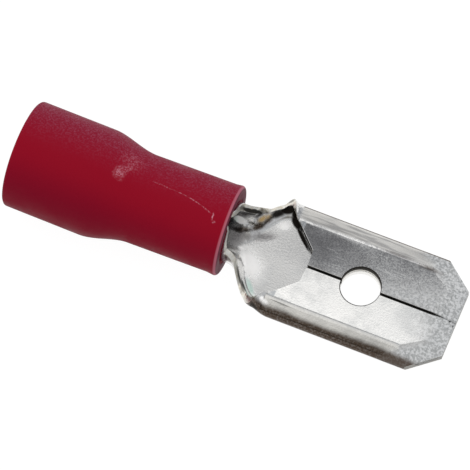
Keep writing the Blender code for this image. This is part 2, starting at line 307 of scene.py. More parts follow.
class Effects:
    """The effects that the finishes share, each built once as a node group.

    A noise is given as blobs in a millimetre, finer layers and how strong those are.
    """

    SCRATCH_WAYS = ((0.25, 0.06), (-0.9, 0.09), (1.35, 0.12))
    SCRATCH_NOISE = (9.0, 3.0, 0.6)
    SCRATCH_LINES = (0.60, 0.74)
    SCRATCH_PATCHES = (0.42, 0.60)
    PATCHES_PER_MM = 0.45
    FINE_NOISE = (11.0, 2.0, 0.7)
    CLOUD_NOISE = (0.9, 3.0, 0.6)
    RAGGED_NOISE = (3.5, 4.0, 0.7)

    def __init__(self) -> None:
        """Builds the groups."""
        self.scratches = self._scratches()
        self.grain = self._grain()
        self.spot = self._spot()

    @staticmethod
    def _group(name: str, vectors: Sequence[str], values: Sequence[str],
               results: Sequence[str]) -> tuple[Nodes, Sequence[Socket], Sequence[Socket]]:
        """Makes an empty node group.

        Args:
            name: The group's name.
            vectors: Names of its vector inputs.
            values: Names of its other inputs.
            results: Names of its outputs.

        Returns:
            A builder for its nodes, what it is given, and what it has to fill, by name.
        """
        tree = bpy.data.node_groups.new(name, "ShaderNodeTree")
        for labels, way, kind in ((vectors, "INPUT", "NodeSocketVector"),
                                  (values, "INPUT", "NodeSocketFloat"),
                                  (results, "OUTPUT", "NodeSocketFloat")):
            for label in labels:
                tree.interface.new_socket(label, in_out=way, socket_type=kind)
        given = tree.nodes.new("NodeGroupInput").outputs
        return Nodes(tree), given, tree.nodes.new("NodeGroupOutput").inputs

    def _scratches(self) -> bpy.types.NodeTree:
        """Returns a group of fine scratches that run three ways."""
        nodes, given, result = self._group("fine_scratches", ["Vector"], ["Amount"], ["Mask"])
        lines = []
        for turn, stretch in self.SCRATCH_WAYS:
            along = nodes.stretched(given["Vector"], (stretch, 1.0, 1.0), turn)
            drawn = nodes.noise(along, *self.SCRATCH_NOISE)
            lines.append(nodes.ramp(drawn, *self.SCRATCH_LINES))
        patches = nodes.noise(given["Vector"], self.PATCHES_PER_MM)
        patches = nodes.ramp(patches, *self.SCRATCH_PATCHES)
        nodes.put(result["Mask"], nodes.times(nodes.most(*lines), patches, given["Amount"]))
        return nodes.tree

    def _grain(self) -> bpy.types.NodeTree:
        """Returns a group of fine even grain over soft clouds."""
        nodes, given, result = self._group("surface_grain", ["Vector"], [], ["Fine", "Cloud"])
        nodes.put(result["Fine"], nodes.noise(given["Vector"], *self.FINE_NOISE))
        nodes.put(result["Cloud"], nodes.noise(given["Vector"], *self.CLOUD_NOISE))
        return nodes.tree

    def _spot(self) -> bpy.types.NodeTree:
        """Returns a group that gives a round or long mark with a soft, ragged edge."""
        nodes, given, result = self._group(
            "soft_spot", ["Vector", "Centre", "Radius", "Turn"], ["Softness", "Ragged"], ["Mask"]
        )
        pattern = nodes.noise(given["Vector"], *self.RAGGED_NOISE, "Color")
        shift = nodes.vector("SUBTRACT", pattern, (0.5, 0.5, 0.5))
        shift = nodes.vector("MULTIPLY", shift, given["Ragged"])
        place = nodes.vector("ADD", given["Vector"], shift)
        arm = nodes.vector("SUBTRACT", place, given["Centre"])
        arm = nodes.add("VectorRotate", {"Vector": arm, "Rotation": given["Turn"]},
                        rotation_type="EULER_XYZ", invert=True).outputs[0]
        length = nodes.length(nodes.vector("DIVIDE", arm, given["Radius"]))
        inner = nodes.less(1.0, given["Softness"])
        nodes.put(result["Mask"], nodes.ramp(length, inner, 1.0, 1.0, 0.0))
        return nodes.tree


@dataclass(frozen=True)
class Mark:
    """A soft mark on a surface, with its centre and half sizes in millimetres."""

    centre: Triple
    half_size: Triple
    turn: float = 0.0
    strength: float = 1.0
    softness: float = 0.7
    ragged: float = 0.15


class Coat(Nodes):
    """A material in the making, with the surface's own coordinates and the shared effects."""

    def __init__(self, name: str, effects: Effects) -> None:
        """Starts the material.

        Args:
            name: The material's name.
            effects: The shared effects.
        """
        self.material = bpy.data.materials.new(name)
        self.material.use_nodes = True
        super().__init__(self.material.node_tree)
        self.effects = effects
        self.place = self.add("TexCoord").outputs["Object"]
        self.x, self.y, self.z = self.add("SeparateXYZ", {0: self.place}).outputs

    def grain(self) -> tuple[Socket, Socket]:
        """Returns the surface's fine grain and its soft clouds."""
        grain = self.add("Group", {"Vector": self.place}, node_tree=self.effects.grain).outputs
        return grain["Fine"], grain["Cloud"]

    def scratches(self, amount: float) -> Socket:
        """Returns the mask of the surface's fine scratches."""
        inputs = {"Vector": self.place, "Amount": amount}
        return self.add("Group", inputs, node_tree=self.effects.scratches).outputs["Mask"]

    def mark(self, mark: Mark) -> Socket:
        """Places one mark.

        Args:
            mark: The mark.

        Returns:
            Its mask.
        """
        spot = self.add("Group", {
            "Vector": self.place,
            "Centre": tuple(value * MM for value in mark.centre),
            "Radius": tuple(value * MM for value in mark.half_size),
            "Turn": (0.0, 0.0, math.radians(mark.turn)),
            "Softness": mark.softness,
            "Ragged": mark.ragged * MM,
        }, node_tree=self.effects.spot)
        return self.times(spot.outputs["Mask"], mark.strength)

    def marks(self, marks: Sequence[Mark]) -> Socket:
        """Places marks and returns one mask, as strong as the strongest at each point."""
        return self.most(*(self.mark(mark) for mark in marks))

    def finish(self, relief: Socket, inputs: dict[str, object]) -> Material:
        """Feeds the shader.

        Args:
            relief: The height of the surface's relief, in metres.
            inputs: Values or output sockets by the names of the shader's inputs.

        Returns:
            The finished material.
        """
        bump = self.add("Bump", {"Height": relief, "Strength": 1.0, "Distance": 1.0})
        shader = self.tree.nodes["Principled BSDF"]
        for name, value in {**inputs, "Normal": bump.outputs[0]}.items():
            self.put(shader.inputs[name], value)
        return self.material


@dataclass(frozen=True)
class TinPlate:
    """Bright tin plate with fine grain and a dull tip, with shade, highlights and reflections
    painted into its colour.

    Ranges and marks along an axis are in millimetres. Four numbers are a range and what it is
    mapped to, but the tip's dull finish and the seam's painted light have their start, end,
    strength and backward lean off the middle. The matt shares are those of the painted highlights,
    the tip, the painted dim reflection, the painted gold reflection, the painted mint reflection
    and the painted brown shade.
    """

    colour: Triple = (0.82, 0.815, 0.80)
    dull_colour: Triple = (0.74, 0.74, 0.73)
    dull_clouds: Pair = (0.42, 0.68)
    speckle_colour: Triple = (0.36, 0.36, 0.37)
    speckle_across: Pair = (-0.3, 0.4)
    speckle_shares: Pair = (0.10, 0.75)
    speckle_grain: Pair = (0.42, 0.60)
    drawn_grain: Pair = (0.46, 0.64)
    drawn_stretch: Triple = (0.10, 1.0, 1.0)
    drawn_per_mm: float = 6.0
    floor_top: Pair = (1.68, 1.80)
    floor_speckle: float = 0.35
    far_bevel: Pair = (2.25, 2.38)
    # Near-black painted shade for the neck's hollows, the flap ends and the seam.
    painted_shade_colour: Triple = (0.018, 0.015, 0.013)
    # Dark brown painted shade and dark reflection for the neck's walls and the tab's edges.
    brown_shade_colour: Triple = (0.070, 0.048, 0.034)
    brown_shade_grain: Quad = (0.32, 0.58, 0.88, 1.0)
    # A matt grey that paints in the dim reflection of the barrel's bore on the neck.
    dim_reflection_colour: Triple = (0.20, 0.19, 0.195)
    dim_reflection_grain: Quad = (0.30, 0.60, 0.6, 1.0)
    # A gold colour for painted warm reflections in the neck.
    gold_reflection_colour: Triple = (0.50, 0.34, 0.13)
    # A near-white matt colour for painted highlights.
    painted_highlight_colour: Triple = (0.95, 0.945, 0.935)
    highlight_grain: Quad = (0.25, 0.50, 0.7, 1.0)
    # A mint colour for painted tinted reflections.
    mint_reflection_colour: Triple = (0.50, 0.66, 0.60)
    # A dark grey that paints the dark reflection on the far flap and far bevel.
    dark_reflection_colour: Triple = (0.28, 0.28, 0.29)
    tip_colour: Triple = (0.23, 0.24, 0.245)
    tip_light_colour: Triple = (0.53, 0.54, 0.55)
    tip_noise: Pair = (8.0, 1.0)
    tip_mottle: Pair = (0.35, 0.65)
    tip_grain: Quad = (0.35, 0.60, 0.80, 1.0)
    tip_haze: Quad = (8.5, 11.0, 0.85, 0.5)
    # A painted lighter reflection on the far flap, growing towards the seam.
    seam_painted_light: Quad = (2.5, 8.5, 0.60, 3.0)
    far_side: Pair = (0.0, 0.2)
    tip_x: float = 11.75 * MM
    chamfer_way: Pair = (0.642, 0.766)
    chamfer_reach: float = 8.972 * MM
    lead_in_haze: Pair = (-1.25, -0.66)
    # Painted dark brown shade along the near and far long edges.
    edge_brown_shade: Pair = (2.56, 2.88)
    edge_raggedness: float = 0.25 * MM
    far_edge_brown_shade: Pair = (3.01, 3.07)
    # Where the painted shade in the seam lies.
    seam_shade: Pair = (0.060, 0.095)
    seam_foot: Pair = (1.70, 1.75)
    seam_start: Pair = (3.2, 3.4)
    seam_fade: Pair = (10.4, 11.1)
    seam_left: float = 0.1
    roughness: Pair = (0.12, 0.18)
    rough_clouds: Pair = (0.35, 0.70)
    scratch_roughness: float = 0.05
    matt_shares: tuple[float, ...] = (1.0, 1.0, 0.85, 0.8, 0.8, 0.2)
    matt_roughness: Quad = (0.20, 0.80, 0.0, 0.45)
    painted_shade_roughness: float = 0.50
    grain_height: Quad = (0.30, 1.0, 0.0022 * MM, 0.006 * MM)
    scratch_depth: float = 0.0008 * MM
    # Painted shade: the foot and rim of the neck's far wall, the wedge under the far flap's end,
    # the near wall, a crease and the seam at the tip.
    painted_shade: tuple[Mark, ...] = (
        Mark((-0.35, 0.62, 1.83), (0.60, 0.17, 0.30), 2, 0.85, 0.9, 0.30),
        Mark((0.15, 0.72, 1.84), (0.45, 0.12, 0.30), 25, 0.75, 0.9, 0.25),
        Mark((2.30, 2.16, 1.66), (0.60, 0.24, 0.20), -44, 1.0, 0.5, 0.10),
        Mark((2.92, 1.50, 1.66), (1.05, 0.13, 0.20), -44, 1.0, 0.5, 0.06),
        Mark((0.05, 1.20, 2.98), (0.58, 0.26, 0.28), 10, 0.90, 0.7, 0.12),
        Mark((0.60, 1.50, 2.66), (0.34, 0.26, 0.28), 45, 0.90, 0.7, 0.12),
        Mark((1.34, 2.20, 2.03), (0.64, 0.22, 0.60), 43, 0.97, 0.6, 0.08),
        Mark((1.72, 2.56, 1.98), (0.66, 0.27, 0.46), 30, 1.0, 0.5, 0.08),
        Mark((2.12, 2.48, 1.80), (0.36, 0.24, 0.36), -44, 1.0, 0.5, 0.05),
        Mark((3.30, -2.40, 2.10), (0.95, 0.05, 0.30), -2, 0.6, 0.9, 0.02),
        Mark((1.95, -3.00, 2.00), (0.75, 0.16, 0.60), -22, 0.85, 0.6, 0.05),
        Mark((1.20, -2.18, 2.05), (0.58, 0.09, 0.45), -50, 0.95, 0.6, 0.05),
        Mark((11.45, -0.03, 2.05), (0.09, 0.07, 0.30), 0, 0.9, 0.7, 0.04),
        Mark((11.68, -0.18, 2.00), (0.06, 0.10, 0.30), 0, 0.9, 0.7, 0.04),
    )
    # Painted dark brown shade and dark reflection on the neck's walls, the barrel's front and the
    # tab's edges.
    painted_brown_shade: tuple[Mark, ...] = (
        Mark((-0.05, 0.72, 1.86), (0.72, 0.19, 0.42), 18, 0.95, 0.8, 0.20),
        Mark((0.62, 1.16, 1.86), (0.60, 0.22, 0.50), 48, 1.0, 0.7, 0.12),
        Mark((0.30, 1.09, 2.18), (0.32, 0.13, 0.30), 10, 0.55, 1.0, 0.20),
        Mark((0.97, 1.66, 1.90), (0.50, 0.16, 0.40), 60, 0.90, 0.8, 0.12),
        Mark((0.10, -1.54, 3.16), (0.42, 0.20, 0.40), 0, 0.85, 0.6, 0.10),
        Mark((3.40, -2.90, 1.90), (1.40, 0.20, 0.40), 0, 0.90, 0.8, 0.10),
        Mark((7.40, -2.82, 1.92), (3.80, 0.26, 0.30), 0, 0.60, 0.9, 0.10),
        Mark((7.80, 2.29, 2.06), (1.40, 0.13, 0.40), 0, 0.50, 1.0, 0.10),
        Mark((9.50, 2.20, 2.06), (1.00, 0.22, 0.40), 0, 0.80, 1.0, 0.10),
    )
    # Painted dim reflection: matt grey on the neck's floor near the barrel.
    painted_dim_reflection: tuple[Mark, ...] = (
        Mark((-0.20, 0.22, 1.78), (0.80, 0.95, 0.85), 0, 1.0, 0.8, 0.3),
        Mark((1.05, 0.84, 1.66), (1.00, 0.38, 0.40), 25, 0.95, 0.8, 0.3),
        Mark((0.42, 0.48, 1.70), (0.75, 0.36, 0.40), 22, 0.75, 1.0, 0.4),
    )
    # Painted mint-tinted reflections on the near neck wall and beside the neck's highlight.
    painted_mint_reflection: tuple[Mark, ...] = (
        Mark((1.46, -1.98, 1.69), (0.70, 0.21, 0.30), -52, 0.85, 0.7, 0.10),
        Mark((-0.52, 0.98, 2.16), (0.18, 0.22, 0.36), 0, 0.55, 1.0, 0.08),
    )
    # Painted dark reflection on the far flap and along the far bevel.
    painted_dark_reflection: tuple[Mark, ...] = (
        Mark((3.70, 1.30, 2.10), (3.60, 2.20, 0.80), 0, 0.75, 1.0, 0.3),
        Mark((3.10, 2.36, 2.05), (1.10, 0.26, 0.30), -3, 0.7, 0.9, 0.1),
        Mark((9.30, 2.75, 2.00), (3.20, 0.50, 0.40), 0, 0.50, 1.0, 0.2),
        Mark((7.90, 2.24, 2.12), (2.20, 0.20, 0.40), 0, 0.85, 1.0, 0.12),
    )
    # Painted gold reflections on the neck's far wall and at the barrel's front.
    painted_gold_reflection: tuple[Mark, ...] = (
        Mark((0.74, 1.50, 2.18), (0.46, 0.30, 0.40), 45, 1.0, 0.9, 0.15),
        Mark((0.96, 1.74, 2.04), (0.38, 0.26, 0.36), 50, 0.95, 0.9, 0.15),
        Mark((-0.02, -1.50, 3.34), (0.14, 0.14, 0.14), 0, 0.9, 0.8, 0.05),
    )
    # Painted highlights: in the neck, on its floor and near wall, along the far bevel and at the
    # near corner.
    painted_highlight: tuple[Mark, ...] = (
        Mark((-0.28, 1.04, 2.20), (0.48, 0.25, 0.36), 0, 1.0, 0.5, 0.06),
        Mark((1.82, 1.84, 1.64), (0.62, 0.42, 0.20), 38, 0.95, 0.8, 0.30),
        Mark((0.90, -0.85, 1.64), (1.75, 1.20, 0.30), -40, 1.0, 1.0, 0.5),
        Mark((0.88, -0.72, 1.64), (1.15, 0.70, 0.30), -40, 1.0, 0.7, 0.3),
        Mark((1.44, -2.02, 1.74), (0.58, 0.11, 0.36), -50, 0.85, 0.7, 0.05),
        Mark((5.20, 2.16, 2.05), (1.80, 0.17, 0.30), -1, 0.40, 1.0, 0.1),
        Mark((2.46, -2.64, 2.20), (0.40, 0.24, 0.40), -10, 0.95, 0.5, 0.06),
    )

    def _edge_mask(self, coat: Coat, cloud: Socket) -> Socket:
        """Returns the painted dark brown shade along the tab's two long edges, broad on the -Y
        side.
        """
        ragged = coat.times(coat.less(cloud, 0.5), self.edge_raggedness)
        near = coat.ramp_mm(coat.less(ragged, coat.y), self.edge_brown_shade)
        return coat.most(near, coat.ramp_mm(coat.y, self.far_edge_brown_shade))

    def _seam_mask(self, coat: Coat) -> Socket:
        """Returns the painted shade that fills the seam between the flaps."""
        return coat.times(
            coat.ramp_mm(coat.math("ABSOLUTE", coat.y), self.seam_shade, 1.0, 0.0),
            coat.ramp_mm(coat.z, self.seam_foot),
            coat.ramp_mm(coat.x, self.seam_start),
            coat.ramp_mm(coat.x, self.seam_fade, 1.0, self.seam_left),
        )

    def _tip_mask(self, coat: Coat) -> Socket:
        """Makes the dull finish that grows towards the tip and covers its lead-in, with a painted
        lighter reflection on the far flap towards the seam.

        Args:
            coat: The material in the making.

        Returns:
            The mask of the dull finish and of the painted light.
        """
        out = coat.math("ABSOLUTE", coat.y)
        hazes = []
        for start, end, share, lean in (self.tip_haze, self.seam_painted_light):
            leaned = coat.less(coat.x, coat.times(out, lean))
            hazes.append(coat.ramp_mm(leaned, (start, end), 0.0, share))
        # Painted lighter reflection on the far flap near the seam.
        far_seam_light = coat.times(hazes[1], coat.ramp_mm(coat.y, self.far_side))
        along, across = self.chamfer_way
        cut = coat.math("ADD", coat.times(coat.x, along), coat.times(out, across))
        ahead = coat.most(coat.less(coat.x, self.tip_x), coat.less(cut, self.chamfer_reach))
        worn = coat.ramp_mm(ahead, self.lead_in_haze, 0.0, self.tip_haze[2])
        return coat.most(hazes[0], far_seam_light, worn)

    def _speckle_mask(self, coat: Coat, fine: Socket) -> Socket:
        """Returns the dark speckle, which is drawn out lengthwise on the far bevel."""
        drawn = coat.noise(coat.stretched(coat.place, self.drawn_stretch), self.drawn_per_mm)
        speckle = coat.ramp(
            coat.ramp_mm(coat.y, self.far_bevel), 0.0, 1.0, coat.ramp(fine, *self.speckle_grain),
            coat.ramp(drawn, *self.drawn_grain), smooth=False,
        )
        return coat.times(coat.ramp_mm(coat.y, self.speckle_across, *self.speckle_shares),
                          speckle, coat.ramp_mm(coat.z, self.floor_top, self.floor_speckle))

    def material(self, effects: Effects) -> Material:
        """Builds the material.

        Args:
            effects: The shared effects.

        Returns:
            The material.
        """
        coat = Coat("tin_plate", effects)
        fine, cloud = coat.grain()
        scratch = coat.scratches(1.0)
        # Painted shade, near black, from the marks and in the seam.
        dark = coat.most(coat.marks(self.painted_shade), self._seam_mask(coat))
        # Painted dark brown shade and dark reflection along the edges and in the neck.
        brown = coat.most(coat.marks(self.painted_brown_shade), self._edge_mask(coat, cloud))
        brown = coat.times(brown, coat.ramp(fine, *self.brown_shade_grain))
        # Painted dim reflection of the bore, as a matt grey.
        dim_reflected = coat.times(coat.marks(self.painted_dim_reflection), coat.ramp(fine, *self.dim_reflection_grain))
        # Painted highlights, near white and matt.
        highlighted = coat.times(coat.marks(self.painted_highlight), coat.ramp(fine, *self.highlight_grain))
        tip = coat.times(self._tip_mask(coat), coat.ramp(fine, *self.tip_grain))
        # Painted gold reflections.
        golden = coat.marks(self.painted_gold_reflection)
        # Painted mint-tinted reflections.
        minty = coat.marks(self.painted_mint_reflection)
        speck = coat.ramp(coat.noise(coat.place, *self.tip_noise), *self.tip_mottle)
        mottled = coat.layered(self.tip_colour, (speck, self.tip_light_colour))
        colour = coat.layered(
            self.colour,
            (coat.ramp(cloud, *self.dull_clouds), self.dull_colour),
            (self._speckle_mask(coat, fine), self.speckle_colour),
            # painted dark reflection on the far flap and far bevel
            (coat.marks(self.painted_dark_reflection), self.dark_reflection_colour),
            (tip, mottled),
            (dim_reflected, self.dim_reflection_colour),
            (highlighted, self.painted_highlight_colour),
            (minty, self.mint_reflection_colour),
            (golden, self.gold_reflection_colour),
            (brown, self.brown_shade_colour),
            (dark, self.painted_shade_colour),
        )
        films = zip((highlighted, tip, dim_reflected, golden, minty, brown), self.matt_shares)
        matt = coat.most(*(coat.times(film, share) for film, share in films))
        matt = coat.times(matt, coat.less(1.0, dark))
        rough = coat.math("ADD", coat.ramp(cloud, *self.rough_clouds, *self.roughness),
                          coat.times(scratch, self.scratch_roughness))
        rough = coat.most(rough, coat.ramp(matt, *self.matt_roughness),
                          coat.times(dark, self.painted_shade_roughness))
        depth = coat.ramp(coat.most(dim_reflected, highlighted, tip), *self.grain_height, smooth=False)
        relief = coat.less(coat.times(fine, depth), coat.times(scratch, self.scratch_depth))
        return coat.finish(relief, {
            "Base Color": colour, "Metallic": coat.less(1.0, matt), "Roughness": rough,
        })


@dataclass(frozen=True)
class ShearedBrass:
    """The strip's cut edge, where its yellow copper-alloy core shows between smeared tin. Shade is
    painted into its hollows and onto its faces at the tip, and a reflection onto the hole's lower
    wall.
    """

    colour: Triple = (0.66, 0.61, 0.52)
    smear_colour: Triple = (0.78, 0.77, 0.72)
    smears: Pair = (0.36, 0.56)
    tear_stretch: Triple = (1.0, 1.0, 0.25)
    tear_noise: Triple = (9.0, 3.0, 0.65)
    # Near-black painted shade for cut faces in hollows and shadow.
    painted_shade_colour: Triple = (0.022, 0.019, 0.016)
    painted_shade_roughness: float = 0.8
    # Painted shade on the cut faces at the tip.
    tip_colour: Triple = (0.17, 0.165, 0.155)
    tip_from: Pair = (10.0, 10.1)
    tip_share: float = 0.85
    # A painted reflection of the pale floor on the hole's lower wall.
    hole_painted_reflection: Mark = Mark((6.64, 0.0, 1.40), (1.50, 1.50, 0.60), 0, 1.0, 0.4, 0.02)
    painted_reflection_colour: Triple = (0.94, 0.93, 0.91)
    roughness: Quad = (0.3, 0.7, 0.30, 0.44)
    tear_height: float = 0.003 * MM
    # Painted shade: the hole's upper wall, the flap ends, the neck's rims and the seam's faces.
    painted_shade: tuple[Mark, ...] = (
        Mark((6.64, 0.0, 2.06), (1.60, 1.60, 0.45), 0, 0.95, 0.25, 0.02),
        Mark((2.90, 1.57, 1.85), (1.45, 0.22, 0.60), -44, 0.97, 0.3, 0.05),
        Mark((1.50, 2.42, 2.25), (0.75, 0.12, 0.45), 37, 0.85, 0.6, 0.05),
        Mark((0.08, 1.26, 3.16), (0.45, 0.13, 0.50), 15, 0.95, 0.4, 0.04),
        Mark((0.34, 1.38, 3.03), (0.34, 0.13, 0.50), 25, 0.95, 0.4, 0.04),
        Mark((0.54, 1.48, 2.85), (0.42, 0.13, 0.50), 38, 0.95, 0.4, 0.04),
        Mark((1.75, 2.96, 2.20), (0.36, 0.12, 0.30), 25, 0.60, 0.6, 0.05),
        Mark((0.98, -2.02, 2.40), (0.90, 0.15, 0.80), -50, 0.80, 0.6, 0.06),
        Mark((7.00, 0.0, 1.85), (5.20, 0.13, 0.45), 0, 0.97, 0.3, 0.0),
    )

    def material(self, effects: Effects) -> Material:
        """Builds the material.

        Args:
            effects: The shared effects.

        Returns:
            The material.
        """
        coat = Coat("sheared_brass", effects)
        torn = coat.noise(coat.stretched(coat.place, self.tear_stretch), *self.tear_noise)
        # Painted shade on the cut faces.
        dark = coat.marks(self.painted_shade)
        colour = coat.layered(
            self.colour,
            (coat.ramp(torn, *self.smears), self.smear_colour),
            # painted shade on the cut faces at the tip
            (coat.ramp_mm(coat.x, self.tip_from, 0.0, self.tip_share), self.tip_colour),
            # painted reflection on the hole's lower wall
            (coat.mark(self.hole_painted_reflection), self.painted_reflection_colour),
            (dark, self.painted_shade_colour),
        )
        rough = coat.most(coat.ramp(torn, *self.roughness),
                          coat.times(dark, self.painted_shade_roughness))
        return coat.finish(coat.times(torn, self.tear_height), {
            "Base Color": colour, "Metallic": 1.0, "Roughness": rough,
        })


@dataclass(frozen=True)
class CrimsonPvc:
    """Satin crimson PVC with scuffs, a painted sheen on its far upper side, painted shade on its
    front face and a painted highlight on its front rim.

    Ranges and marks along an axis are in millimetres. Four numbers are a range and what it
    is mapped to.
    """

    colour: Triple = (0.232, 0.0014, 0.0122)
    # Painted sheen: a purplish colour with pink specks on the far upper side.
    painted_sheen_colour: Triple = (0.180, 0.007, 0.026)
    sheen_across: Pair = (-0.7, 2.6)
    sheen_heights: Pair = (1.91, 3.61)
    sheen_speck_colour: Triple = (0.27, 0.075, 0.125)
    speck_grain: Pair = (0.46, 0.64)
    speck_share: float = 0.6
    # Painted shade: the front face is darker than the rest of the sleeve.
    face_shade_colour: Triple = (0.100, 0.009, 0.024)
    face_along: Pair = (-0.52, -0.48)
    # Real scuffs, and the painted highlight on the front rim.
    scuff_and_rim_highlight_colour: Triple = (0.56, 0.25, 0.32)
    scuff_grain: Quad = (0.42, 0.62, 0.10, 1.0)
    shade_colour: Triple = (0.165, 0.0006, 0.0120)
    shade_across: Pair = (-0.9, -2.8)
    # Where the painted highlight on the front rim lies.
    rim_along: Pair = (-0.64, -0.56)
    rim_out: Pair = (2.245, 2.305)
    rim_share: float = 0.38
    roughness: Quad = (0.3, 0.7, 0.43, 0.56)
    sheen: float = 0.05
    grain_height: float = 0.005 * MM
    front_slant: float = 0.042
    front_radius: float = 2.365 * MM
    axis_height: float = 2.81 * MM
    scuffs: tuple[Mark, ...] = (
        Mark((-6.30, -0.20, 5.33), (0.42, 0.50, 0.60), 10, 0.70, 1.0, 0.45),
        Mark((-6.00, 0.20, 5.33), (0.60, 0.25, 0.60), 50, 0.45, 1.0, 0.40),
        Mark((-5.95, 0.75, 5.20), (0.85, 0.90, 0.60), 0, 0.24, 1.0, 0.4),
        Mark((-3.95, 0.05, 5.15), (0.95, 0.045, 0.40), -2, 0.35, 0.8, 0.12),
        Mark((-3.05, 0.00, 5.15), (0.50, 0.04, 0.40), -6, 0.4, 0.8, 0.1),
        Mark((-2.30, -0.12, 5.14), (0.55, 0.045, 0.40), -12, 0.55, 0.8, 0.12),
        Mark((-1.60, -0.32, 5.12), (0.42, 0.05, 0.40), -20, 0.55, 0.8, 0.12),
        Mark((-1.15, -0.52, 5.10), (0.07, 0.30, 0.40), 8, 0.75, 0.8, 0.12),
        Mark((-1.00, -0.76, 5.05), (0.12, 0.10, 0.40), 0, 0.8, 0.8, 0.1),
    )

    def _front_masks(self, coat: Coat) -> tuple[Socket, Socket]:
        """Returns the masks of the slanting front face and of its outer rim, where a highlight is
        painted.
        """
        slant = coat.times(coat.less(self.front_radius, coat.y), self.front_slant)
        ahead = coat.less(coat.x, slant)
        above = coat.less(coat.z, self.axis_height)
        out = coat.length(coat.add("CombineXYZ", {"X": coat.y, "Y": above}).outputs[0])
        rim = coat.times(coat.ramp_mm(ahead, self.rim_along),
                         coat.ramp_mm(out, self.rim_out, 0.0, self.rim_share))
        return coat.ramp_mm(ahead, self.face_along), rim

    def material(self, effects: Effects) -> Material:
        """Builds the material.

        Args:
            effects: The shared effects.

        Returns:
            The material.
        """
        coat = Coat("crimson_pvc", effects)
        fine, cloud = coat.grain()
        # Painted sheen on the far upper side.
        painted_sheen = coat.times(coat.ramp_mm(coat.y, self.sheen_across),
                           coat.ramp_mm(coat.z, self.sheen_heights))
        specks = coat.times(coat.ramp(fine, *self.speck_grain), painted_sheen, self.speck_share)
        scuff = coat.times(coat.marks(self.scuffs), coat.ramp(fine, *self.scuff_grain))
        face, rim = self._front_masks(coat)
        colour = coat.layered(
            self.colour,
            (coat.ramp_mm(coat.y, self.shade_across), self.shade_colour),
            (painted_sheen, self.painted_sheen_colour),
            (specks, self.sheen_speck_colour),
            # painted shade on the front face
            (face, self.face_shade_colour),
            # real scuffs and the painted highlight on the front rim
            (coat.most(scuff, rim), self.scuff_and_rim_highlight_colour),
        )
        return coat.finish(coat.times(fine, self.grain_height), {
            "Base Color": colour, "Specular IOR Level": self.sheen,
            "Roughness": coat.ramp(cloud, *self.roughness),
        })


def new_object(name: str, form: Form) -> bpy.types.Object:
    """Makes an object of a finished form and links it to the scene.

    Args:
        name: The object's name.
        form: The form, which is freed.

    Returns:
        The object.
    """
    mesh = bpy.data.meshes.new(name)
    form.to_mesh(mesh)
    form.free()
    made = bpy.data.objects.new(name, mesh)
    bpy.context.scene.collection.objects.link(made)
    return made


def smooth(mesh: bpy.types.Mesh, angle: float) -> None:
    """Shades a mesh smooth, apart from edges that turn by more than an angle."""
    mesh.shade_smooth()
    mesh.set_sharp_from_angle(angle=angle)


def thicken(form: Form, faces: Sequence[bmesh.types.BMFace], offset: Triple) -> None:
    """Extrudes faces by an offset and keeps the original ones."""
    grown = bmesh.ops.extrude_face_region(form, geom=faces, use_keep_orig=True)["geom"]
    moved = [item for item in grown if isinstance(item, bmesh.types.BMVert)]
    bmesh.ops.translate(form, verts=moved, vec=offset)


def spun(profile: Sequence[Vector], centre: Vector, axis: Triple, steps: int) -> Form:
    """Turns a profile about an axis.

    Args:
        profile: The profile's points.
        centre: A point of the axis.
        axis: The axis's direction.
        steps: How many steps the turn is divided into.

    Returns:
        The turned form.
    """
    form = bmesh.new()
    ring = [form.verts.new(point) for point in profile]
    edges = [form.edges.new(pair) for pair in zip(ring, ring[1:])]
    bmesh.ops.spin(form, geom=ring + edges, cent=centre, axis=axis, angle=2 * math.pi,
                   steps=steps, use_merge=True)
    bmesh.ops.remove_doubles(form, verts=form.verts, dist=FINE_MERGE_DISTANCE)
    return form


def stand_for(piece: bpy.types.Object, node: str) -> None:
    """Makes a piece stand for a node of the model.

    Args:
        piece: The piece.
        node: The node that it stands for.
    """
    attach(piece, BODY)
    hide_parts(node)


@dataclass(frozen=True)
class Section:
    """The folded sheet's section at one place: flat floor, bend and the strip's half width."""

    floor: float
    bend: float
    reach: float


